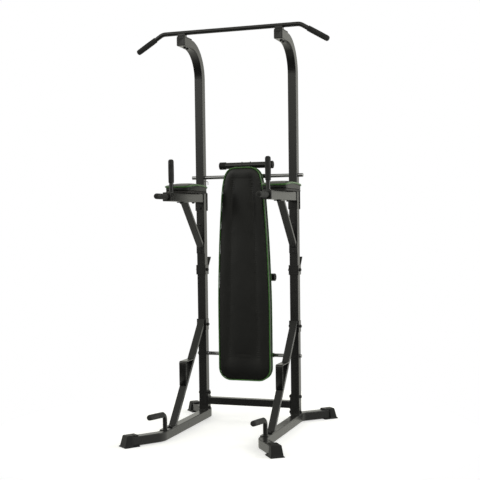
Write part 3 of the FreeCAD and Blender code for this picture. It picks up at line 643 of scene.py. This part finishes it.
def bench_cushion():
    """Boxed back pad: a front panel sewn in three long puffed strips, side band and two piped edges.

    Each channel is a groove whose depth falls off as a bell curve on both sides of its line.
    """
    low, high = low_high("bench_pad")
    front, rear = low[1], high[1]
    plan = rim_of("bench_pad", 1, rear, 7.0 * MM)
    plan = plan + unit(spine_points(plan) - plan) * BENCH_INSET
    seam_y = front + BENCH_SEAM

    def place(flat, height):
        return np.stack([flat[:, 0], height, flat[:, 1]], axis=1)

    levels = [(1.0, rear), (0.5, rear), (0.03, rear), (0.0, rear - 1.5 * MM)]
    levels += [(0.0, rear - (rear - seam_y) * share) for share in (0.25, 0.5, 0.75)]
    levels += [(0.0, seam_y), (0.03, seam_y - 1.5 * MM)]
    levels += [(share, front) for share in (0.10, 0.3, 0.6, 1.0)]
    points, faces = cushion_shell(plan, levels, place)
    piece = build("bench_cushion", points, faces, "bench", "pad_vinyl")
    remeshed(piece, BENCH_VOXEL)

    stations = np.linspace(low[2] + 0.05, high[2] - 0.05, 24)
    halves = [np.abs(plan[np.abs(plan[:, 1] - z) < 0.02, 0]).max() for z in stations]

    def channel_x(z):
        down = np.clip((high[2] - z) / (high[2] - low[2]), 0.0, 1.0)
        share = CHANNEL_SHARE[0] + (CHANNEL_SHARE[1] - CHANNEL_SHARE[0]) * down
        return share * np.interp(z, stations, halves)

    start = coordinates(piece.data)
    fade = np.clip((start[:, 2] - low[2] - CHANNEL_FADE_LOW[0]) / CHANNEL_FADE_LOW[1], 0.0, 1.0)
    fade = fade * np.clip((high[2] - CHANNEL_FADE_TOP[0] - start[:, 2]) / CHANNEL_FADE_TOP[1], 0.0, 1.0)
    fade = fade * fade * (3.0 - 2.0 * fade)
    gap = np.abs(np.abs(start[:, 0]) - channel_x(start[:, 2]))
    facing = start[:, 1] < front + 3.0 * MM
    start[:, 1] += np.where(facing, CHANNEL_DEPTH * fade * np.exp(-(gap / CHANNEL_WIDTH) ** 2), 0.0)
    shaped(piece, start)
    edge = place(plan, np.full(len(plan), seam_y))
    back = place(plan, np.full(len(plan), rear))
    to_edge, _ = nearest(start, np.vstack([edge, back]))
    held = (to_edge < 6.0 * MM) | (start[:, 1] > rear - 3.0 * MM)
    held |= facing & (gap < 4.0 * MM) & (fade > 0.15)
    inflated(piece, held, BENCH_SWELL)
    heights = np.linspace(low[2] + 0.14, high[2] - 0.07, CHANNEL_POINTS)
    floor_y = np.full(CHANNEL_POINTS, front + 2.0 * MM)
    channels = [np.stack([s * channel_x(heights), floor_y, heights], axis=1) for _, s in SIDES]
    seam_numbers(piece, [edge, back] + channels)
    finer(piece)
    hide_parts("bench_pad")
    welted = plan + unit(plan - spine_points(plan)) * 1.6 * MM
    front_loop = place(welted, np.full(len(plan), seam_y - 0.5 * MM))
    rear_loop = place(welted, np.full(len(plan), rear - 3.0 * MM))
    welt("bench_front_piping", front_loop, PIPING_R, REAR, "bench")
    welt("bench_rear_piping", rear_loop, REAR_PIPING_R, REAR, "bench")


ARM_PIPING_R = 4.8 * MM
ARM_VOXEL = 4.5 * MM
ARM_INSET = 3.5 * MM
ARM_SWELL = 6.0 * MM
ARM_CROWN = 0.36            # share of the height lost at the front and rear ends
ARM_CROWN_POWER = 2.6


def arm_cushion(tag):
    """Elbow pad: a top panel that crowns along its length, piping round its edge and a boxed band below.

    Heights above the board shrink by a share that grows as the 2.6th power of the distance from the middle.
    """
    node = "arm_pad_" + tag
    low, high = low_high(node)
    plan = rim_of(node, 2, low[2], 5.0 * MM)
    plan = softened(plan + unit(spine_points(plan) - plan) * ARM_INSET, 8)
    seam_z = high[2] - 11.0 * MM
    middle = (low[1] + high[1]) / 2
    half = (high[1] - low[1]) / 2

    def crowned(points):
        share = np.clip(np.abs(points[:, 1] - middle) / half, 0.0, 1.0)
        lifted = points.copy()
        lifted[:, 2] = low[2] + (points[:, 2] - low[2]) * (1.0 - ARM_CROWN * share ** ARM_CROWN_POWER)
        return lifted

    def place(flat, height):
        return np.stack([flat[:, 0], flat[:, 1], height], axis=1)

    levels = [(1.0, low[2]), (0.5, low[2]), (0.05, low[2]), (0.0, low[2] + 1.5 * MM)]
    levels += [(0.0, low[2] + (seam_z - low[2]) * share) for share in (0.35, 0.7)]
    levels += [(0.0, seam_z), (0.05, seam_z + 3.5 * MM), (0.18, high[2] - 3.0 * MM)]
    levels += [(0.5, high[2]), (1.0, high[2])]
    points, faces = cushion_shell(plan, levels, place)
    piece = build("arm_cushion_" + tag, points, faces, "tower", "pad_vinyl")
    remeshed(piece, ARM_VOXEL)
    start = coordinates(piece.data)
    edge = place(plan, np.full(len(plan), seam_z))
    corners = place(plan, np.full(len(plan), low[2]))
    to_edge, _ = nearest(start, np.vstack([edge, corners]))
    held = (to_edge < ARM_VOXEL) | (start[:, 2] < low[2] + 2.5 * MM)
    shaped(piece, crowned(start))
    inflated(piece, held, ARM_SWELL)
    edge = crowned(edge)
    seam_numbers(piece, [edge, corners])
    finer(piece)
    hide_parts(node)
    welted = plan + unit(plan - spine_points(plan)) * 1.5 * MM
    loop = crowned(place(welted, np.full(len(plan), seam_z)))
    welt("arm_piping_" + tag, loop, ARM_PIPING_R, UP, "tower")


bench_cushion()
for tag, s in SIDES:
    arm_cushion(tag)


# ---- boots, caps, plugs and grips -------------------------------------------
BOOT_LENGTH = 84.0 * MM     # without its lip
BOOT_LIP = 4.0 * MM
BOOT_LEAN = 16.0 / 63.0     # inward lean of the outer face, per height
BOOT_CORE = np.array([0.0, 27.0 * MM])
TUBE_HALF = 24.5 * MM       # the tongue's sides are tucked this close to the middle, inside the tube
TONGUE_LOW = 9.0 * MM
TONGUE_HIGH = 56.5 * MM
# share of the length and inward step in mm: rounded outer rim, side walls, then the tongue over the tube
BOOT_WALLS = (
    (0.0, 3.5), (0.004, 2.0), (0.015, 0.8), (0.035, 0.15), (0.06, 0.0),
    (0.2, 0.0), (0.36, 0.0), (0.52, 0.0), (0.54, 0.4), (0.548, 1.6),
)
BOOT_TONGUE = (
    (0.552, 1.6), (0.562, 0.5), (0.58, 0.0), (0.7, 0.0), (0.84, 0.0),
    (0.95, 0.0), (0.98, 0.5), (0.994, 1.4), (1.0, 2.6),
)


def boot_section():
    """Closed cross-section of the boot, (side, height): up one side with its lip, over the rounded top and down."""
    arc = np.linspace(0.0, math.pi / 2, 7)
    side = [(38.0, 0.0), (39.0, 1.0), (39.0, 3.2), (38.3, 4.4), (36.3, 5.2), (34.8, 6.4), (34.3, 8.5)]
    side += [(34.3 - 5.4 * k, 8.5 + 46.5 * k) for k in (0.2, 0.4, 0.6, 0.8, 1.0)]
    shoulder = [(21.4 + 7.5 * math.cos(a), 55.3 + 7.5 * math.sin(a)) for a in arc]
    half = np.array(side + shoulder) * MM
    other = half[::-1] * np.array([-1.0, 1.0])
    return evened(np.vstack([half, other]), 2.6 * MM)


def boot(node, s):
    """Rubber boot: the section carried along the tube, its outer face leaning.

    The half over the tube has no side walls, only a tongue on top and the lip below.
    """
    points = coordinates(frame["nodes"][node].data)
    floor = points[points[:, 2] < 0.2 * MM][:, :2]
    centre = (floor.min(axis=0) + floor.max(axis=0)) / 2
    spread = np.unique(np.round(floor, 5), axis=0)
    corner = spread[np.argsort(np.linalg.norm(spread - centre, axis=1))[-4:]]
    sides = corner[:, None, :] - corner[None, :, :]
    ways = unit(sides[np.linalg.norm(sides, axis=2) > 1.0 * MM])
    inward = unit(np.array([-0.6 * s, -0.8 * np.sign(centre[1])]))
    back = ways[np.argmax(ways @ inward)]
    across = np.array([back[1], -back[0]])
    section = boot_section()

    def ring(share, inset, squeeze=1.0, tongue=False):
        away = unit(section - BOOT_CORE)
        flat = (section - away * inset * MM - BOOT_CORE) * squeeze + BOOT_CORE
        height = np.maximum(flat[:, 1], 0.0)
        side = flat[:, 0]
        if tongue:
            beside = (height > TONGUE_LOW) & (height < TONGUE_HIGH)
            side = np.where(beside, np.clip(side, -TUBE_HALF, TUBE_HALF), side)
        lipped = np.clip((7.0 * MM - height) / (3.0 * MM), 0.0, 1.0)
        start = BOOT_LEAN * height * (1.0 - lipped) - BOOT_LIP * lipped
        finish = BOOT_LENGTH + BOOT_LIP * lipped
        reach = start + share * (finish - start)
        plan = centre - back * BOOT_LENGTH / 2 + across * side[:, None] + back * reach[:, None]
        return np.column_stack([plan, height])

    rings = [ring(0.0, 4.0, squeeze) for squeeze in (0.02, 0.3, 0.6, 0.85)]
    rings += [ring(share, inset) for share, inset in BOOT_WALLS]
    rings += [ring(share, inset, 1.0, True) for share, inset in BOOT_TONGUE]
    rings += [ring(1.0, 3.0, squeeze, True) for squeeze in (0.85, 0.6, 0.3, 0.02)]
    shell, faces = tube_surface(np.array(rings), False)
    piece = build(node.replace("foot_cap", "boot"), shell, faces, "tower", "boot_rubber")
    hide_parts(node)


def joined(pieces):
    """Points and faces of several closed surfaces, as one."""
    points, faces, count = [], [], 0
    for shell, quads in pieces:
        points.append(shell)
        faces += [[index + count for index in face] for face in quads]
        count += len(shell)
    return np.vstack(points), faces


def spun(profile, start, axis, count=40):
    """Surface of a profile of (distance along the axis, radius), in mm, turned about the axis."""
    axis = unit(np.array(axis, float))
    first = unit(np.cross(axis, RIGHT if abs(axis[0]) < 0.9 else UP))
    second = np.cross(axis, first)
    profile = np.array(profile) * MM
    ring = circle(1.0, count)
    spokes = ring[:, :1] * first + ring[:, 1:] * second
    grid = start + profile[:, None, :1] * axis + profile[:, None, 1:] * spokes[None]
    return tube_surface(grid, False)


END_CAP_LENGTH = 40.0 * MM


def end_caps(node, body):
    """Rubber caps on both ends of a round bar: ribbed skirt, rounded rim and a dished end."""
    low, high = low_high(node)
    y, z = (low[1] + high[1]) / 2, (low[2] + high[2]) / 2
    profile = [(0.0, 0.2), (0.0, 19.5), (0.6, 21.6), (1.8, 22.4)]
    for rib in (9.0, 16.0, 23.0):
        profile += [(rib - 2.6, 22.5), (rib - 1.4, 21.3), (rib, 21.3), (rib + 1.2, 22.5)]
    profile += [(34.5, 22.5), (37.6, 21.8), (39.3, 19.8), (40.0, 17.0)]
    profile += [(39.8, 14.5), (37.8, 13.0), (36.8, 10.0), (36.4, 0.2)]
    start = high[0] - END_CAP_LENGTH
    caps = [spun(profile, np.array([s * start, y, z]), (s, 0, 0)) for _, s in SIDES]
    points, faces = joined(caps)
    piece = build(node + "_moulded", points, faces, body, "boot_rubber")
    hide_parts(node)


# foam grips, in mm
GRIP_RADIUS = 15.5
GRIP_BARREL = 0.55
GRIP_DOME = 12.0


def grip(node, tip_way):
    """Foam sleeve on a bar: rolled open end, slightly barrelled body and a domed tip with a dimple."""
    points = coordinates(frame["nodes"][node].data)
    tip_way = unit(np.array(tip_way, float))
    reach = points @ tip_way
    for _ in range(3):
        first = points[reach < reach.min() + 1.0 * MM].mean(axis=0)
        last = points[reach > reach.max() - 1.0 * MM].mean(axis=0)
        tip_way = unit(last - first)
        reach = points @ tip_way
    length = np.ptp(reach) / MM
    base = first + (reach.min() - first @ tip_way) * tip_way
    profile = [(0.0, 12.3), (0.0, 14.2), (0.8, 15.4), (2.2, 15.8)]
    for t in np.linspace(0.0, 1.0, 15):
        barrel = GRIP_BARREL * math.sin(math.pi * t) ** 0.7
        profile.append((4.0 + (length - 4.0 - GRIP_DOME) * t, GRIP_RADIUS + barrel))
    for a in np.linspace(0.0, 1.0, 9)[1:-1] * math.pi / 2:
        profile.append((length - GRIP_DOME + GRIP_DOME * math.sin(a), GRIP_RADIUS * math.cos(a) ** 0.72))
    profile += [(length - 0.1, 2.6), (length - 1.0, 1.6), (length - 1.3, 0.1)]
    shell, faces = spun(profile, base, tip_way, 36)
    piece = build(node + "_foam", shell, faces, "tower", "grip_foam")
    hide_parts(node)


# share of the depth and inward step in mm: rounded flange, pillowed face and the neck inside the tube
PLUG_WALK = (
    (0.0, 0.9), (0.0, 0.0), (0.45, 0.0), (0.75, 0.5), (0.93, 1.6),
    (1.0, 4.0), (1.0, 9.0), (0.8, 11.0), (0.8, 24.0),
)


def plugs(node):
    """Plastic plugs in square tube ends: a pillowed face on a rounded square flange."""
    low, high = low_high(node)
    depth = high[1] - low[1]
    z = (low[2] + high[2]) / 2
    size = high[2] - low[2]
    shells = []
    for _, s in SIDES:
        x = s * (high[0] - size / 2)
        rings = []
        for share, inset in PLUG_WALK:
            across = size - 2 * inset * MM
            loop = rounded_box(across, across, max(5.0 - inset * 0.5, 0.4) * MM, 5)
            y = high[1] - share * depth
            rings.append(np.column_stack([x + loop[:, 0], np.full(len(loop), y), z + loop[:, 1]]))
        shells.append(tube_surface(np.array(rings), False))
    points, faces = joined(shells)
    piece = build(node + "_moulded", points, faces, "tower", "cap_plastic")
    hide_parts(node)


for tag, s in SIDES:
    boot("foot_cap_front_" + tag, s)
    boot("foot_cap_rear_" + tag, s)
    grip("vertical_grip_" + tag, UP)
    grip("dip_grip_" + tag, -REAR)
    grip("pullup_grip_" + tag, (s, 0.0, -0.6))
    grip("pushup_grip_" + tag, (0.0, -1.0, 0.1))
end_caps("bench_end_caps", "bench")
end_caps("leg_end_caps", "leg")
plugs("upright_end_caps")
plugs("arm_end_caps")


# ---- steps, welds and small plugs -------------------------------------------
def step_plate(node):
    """Flat bar with rounded edges, carried up the riser, round the bend and back along the tread."""
    low, high = low_high(node)
    thick = 6.0 * MM
    x = (low[0] + high[0]) / 2
    corners = [
        (x, low[1] + thick / 2, low[2] + 4.0 * MM),
        (x, low[1] + thick / 2, high[2] - thick / 2),
        (x, high[1] - 1.0 * MM, high[2] - thick / 2),
    ]
    path = rounded_route(corners, 9.0 * MM, 9)
    section = rounded_box(thick, high[0] - low[0], 1.4 * MM, 4)
    points, faces = tube_surface(carried(path, section, RIGHT), False)
    piece = build(node + "_bent", points, faces, "tower", "frame_black")
    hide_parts(node)


def weld_bead(loop, radius, across, closed=True):
    """Fillet weld: a round bead with overlapping ripples, carried along a joint."""
    run = np.arange(len(loop))
    ripple = 1.0 + 0.16 * np.abs(np.sin(run * math.pi / 4.0)) + 0.05 * np.sin(run * 0.37)
    return tube_surface(carried(loop, circle(radius, 8), across, closed, ripple), closed)


def box_loop(centre, first, second, width, height):
    """Rounded rectangle in space round a tube, spanned by two directions."""
    loop = rounded_box(width, height, 4.0 * MM, 5, 1.6 * MM)
    return centre + loop[:, :1] * first + loop[:, 1:] * second


TUBE = 50.0 * MM
WELD_ROUND = 2.0 * MM       # how much wider a bead's loop is than its tube
CROSSBAR_LOOP = 44.0 * MM


def frame_welds():
    """Beads where the uprights meet the base, the arms meet their flanges and the crossbar its end plates."""
    beads = []
    size = TUBE + WELD_ROUND
    for tag, s in SIDES:
        low, high = low_high("lower_upright_" + tag)
        x, y = (low[0] + high[0]) / 2, (low[1] + high[1]) / 2
        foot = np.array([x, y, low[2] + 1.0 * MM])
        beads.append(weld_bead(box_loop(foot, RIGHT, REAR, size, size), 3.0 * MM, UP))
        low, high = low_high("arm_" + tag)
        z = low_high("arm_end_caps")[0][2] + TUBE / 2
        flange = np.array([x, high[1] - 6.0 * MM, z])
        beads.append(weld_bead(box_loop(flange, RIGHT, UP, size, size), 2.6 * MM, REAR))
        low, high = low_high("lower_crossbar")
        middle = np.array([s * (high[0] - 8.5 * MM), (low[1] + high[1]) / 2, low[2] + 61.0 * MM])
        loop = box_loop(middle, REAR, UP, CROSSBAR_LOOP, CROSSBAR_LOOP)
        beads.append(weld_bead(loop, 2.4 * MM, RIGHT))
    points, faces = joined(beads)
    build("frame_welds", points, faces, "tower", "frame_black")


# beads on the bench's spine: radii of their rings and distance from the middle
SLEEVE_R = 14.5 * MM
END_BAR_R = 20.0 * MM
SPINE_HALF = 26.0 * MM


def bench_welds():
    """Beads round the hinge and lock sleeves where the spine crosses them, and round the end bar."""
    beads = []
    for node, radius in (("hinge_axle", SLEEVE_R), ("lock_pin_L", SLEEVE_R), ("bench_end_caps", END_BAR_R)):
        start, stop = low_high(node)
        y, z = (start[1] + stop[1]) / 2, (start[2] + stop[2]) / 2
        for _, s in SIDES:
            ring = circle(radius, 72)
            loop = np.column_stack([np.full(72, s * SPINE_HALF), y + ring[:, 0], z + ring[:, 1]])
            beads.append(weld_bead(loop, 2.2 * MM, RIGHT))
    points, faces = joined(beads)
    build("bench_welds", points, faces, "bench", "frame_black")


PLUG_Z = 1.181


def hole_plugs():
    """Small domed plugs on the uprights' front faces."""
    profile = [(-1.0, 0.2), (-1.0, 7.2), (0.6, 7.4), (1.7, 6.4), (2.3, 4.0), (2.4, 0.2)]
    shells = []
    for tag, s in SIDES:
        low, high = low_high("upper_upright_" + tag)
        y = low_high("lower_upright_" + tag)[0][1]
        x = s * (np.abs([low[0], high[0]]).max() - TUBE / 2)
        shells.append(spun(profile, np.array([x, y, PLUG_Z]), -REAR, 24))
    points, faces = joined(shells)
    build("hole_plugs", points, faces, "tower", "cap_plastic")


def strap_screws():
    """Pan-head screws that hold the bench's straps to its board, each with a shallow round pit."""
    low, high = low_high("bench_board")
    shells = []
    profile = [(-0.5, 0.2), (-0.5, 5.6), (0.6, 5.7), (2.0, 4.6), (2.9, 2.6)]
    profile += [(3.0, 1.7), (2.0, 1.3), (1.8, 0.2)]
    for z, half in ((low[2] + 125.0 * MM, 98.0 * MM), (0.820, 88.0 * MM), (1.340, 68.0 * MM)):
        for _, s in SIDES:
            shells.append(spun(profile, np.array([s * half, high[1] + 4.0 * MM, z]), REAR, 20))
    points, faces = joined(shells)
    build("strap_screws", points, faces, "bench", "fasteners")


for tag, s in SIDES:
    step_plate("step_" + tag)
frame_welds()
bench_welds()
hole_plugs()
strap_screws()


# ---- the floor and the light ------------------------------------------------
FLOOR_RADIUS = 1.4
FLOOR_SIDES = 96
FLOOR_DROP = 0.5 * MM
FLOOR_GLOW = 0.48
WORLD_FRONT = (0.08, 1.1)       # strength below and above the horizon
WORLD_REAR = (0.85, 1.0)
WORLD_ZENITH = 0.5              # share of that strength overhead
WORLD_TINT = rgb(1.0, 1.0, 0.90)


def make_stage():
    """Pale round floor just under the boots. Reflections don't show it, so the low front faces stay dark."""
    mesh = bpy.data.meshes.new("floor")
    rim = np.column_stack([circle(FLOOR_RADIUS, FLOOR_SIDES), np.full(FLOOR_SIDES, -FLOOR_DROP)])
    mesh.from_pydata(rim, [], [tuple(range(FLOOR_SIDES))])
    floor = bpy.data.objects.new("floor", mesh)
    bpy.context.scene.collection.objects.link(floor)
    s = Shader("pale floor")
    mottle = s.noise(0.5, 2.0)
    s.finish(
        Base_Color=s.mix(mottle, rgb(0.70, 0.70, 0.70), rgb(0.73, 0.73, 0.73)),
        Roughness=0.9,
        Specular_IOR_Level=0.1,
        Emission_Color=rgb(1.0, 1.0, 1.0),
        Emission_Strength=FLOOR_GLOW,
    )
    mesh.materials.append(s.material)
    floor.visible_glossy = False


def make_light(name, place, aim, size, power):
    """Soft rectangular lamp that faces the aim point."""
    data = bpy.data.lights.new(name, "AREA")
    data.shape = "RECTANGLE"
    data.size = size[0]
    data.size_y = size[1]
    data.energy = power
    lamp = bpy.data.objects.new(name, data)
    bpy.context.scene.collection.objects.link(lamp)
    back = unit(np.array(place) - np.array(aim))
    first = unit(np.cross(UP, back))
    turned_frame = np.eye(4)
    turned_frame[:3, 0] = first
    turned_frame[:3, 1] = np.cross(back, first)
    turned_frame[:3, 2] = back
    turned_frame[:3, 3] = place
    lamp.matrix_world = Matrix(turned_frame.tolist())


def make_world():
    """Studio walls: bright behind the tower and above the front horizon, dark below it, dimmer overhead."""
    world = bpy.data.worlds.new("studio")
    world.use_nodes = True
    bpy.context.scene.world = world
    nodes = world.node_tree.nodes
    links = world.node_tree.links

    def between(source, low, high, start, finish):
        ramp = nodes.new("ShaderNodeMapRange")
        ramp.interpolation_type = "SMOOTHSTEP"
        ramp.inputs["From Min"].default_value = low
        ramp.inputs["From Max"].default_value = high
        ramp.inputs["To Min"].default_value = start
        ramp.inputs["To Max"].default_value = finish
        links.new(source, ramp.inputs["Value"])
        return ramp.outputs["Result"]

    def blended(share, first, second):
        pick = nodes.new("ShaderNodeMix")
        links.new(share, pick.inputs[0])
        links.new(first, pick.inputs[2])
        if isinstance(second, float):
            pick.inputs[3].default_value = second
        else:
            links.new(second, pick.inputs[3])
        return pick.outputs[0]

    spot = nodes.new("ShaderNodeTexCoord")
    split = nodes.new("ShaderNodeSeparateXYZ")
    seen = nodes.new("ShaderNodeLightPath")
    links.new(spot.outputs["Generated"], split.inputs["Vector"])
    front = between(split.outputs["Z"], -0.02, 0.10, *WORLD_FRONT)
    rear = between(split.outputs["Z"], -0.5, 0.9, *WORLD_REAR)
    walls = blended(between(split.outputs["Y"], -0.75, 0.35, 0.0, 1.0), front, rear)
    room = nodes.new("ShaderNodeMath")
    room.operation = "MULTIPLY"
    links.new(walls, room.inputs[0])
    links.new(between(split.outputs["Z"], 0.5, 0.9, 1.0, WORLD_ZENITH), room.inputs[1])
    strength = blended(seen.outputs["Is Camera Ray"], room.outputs[0], 1.0)
    links.new(strength, nodes["Background"].inputs["Strength"])
    tint = nodes.new("ShaderNodeMix")
    tint.data_type = "RGBA"
    links.new(seen.outputs["Is Camera Ray"], tint.inputs[0])
    tint.inputs[6].default_value = WORLD_TINT
    tint.inputs[7].default_value = rgb(1.0, 1.0, 1.0)
    links.new(tint.outputs[2], nodes["Background"].inputs["Color"])


make_stage()
make_world()
make_light("key lamp", (3.6, 0.6, 2.2), (0.2, 0.1, 1.0), (1.6, 2.6), 60.0)
make_light("left lamp", (-3.0, -3.0, 3.0), (0.0, 0.0, 1.0), (2.0, 2.0), 25.0)
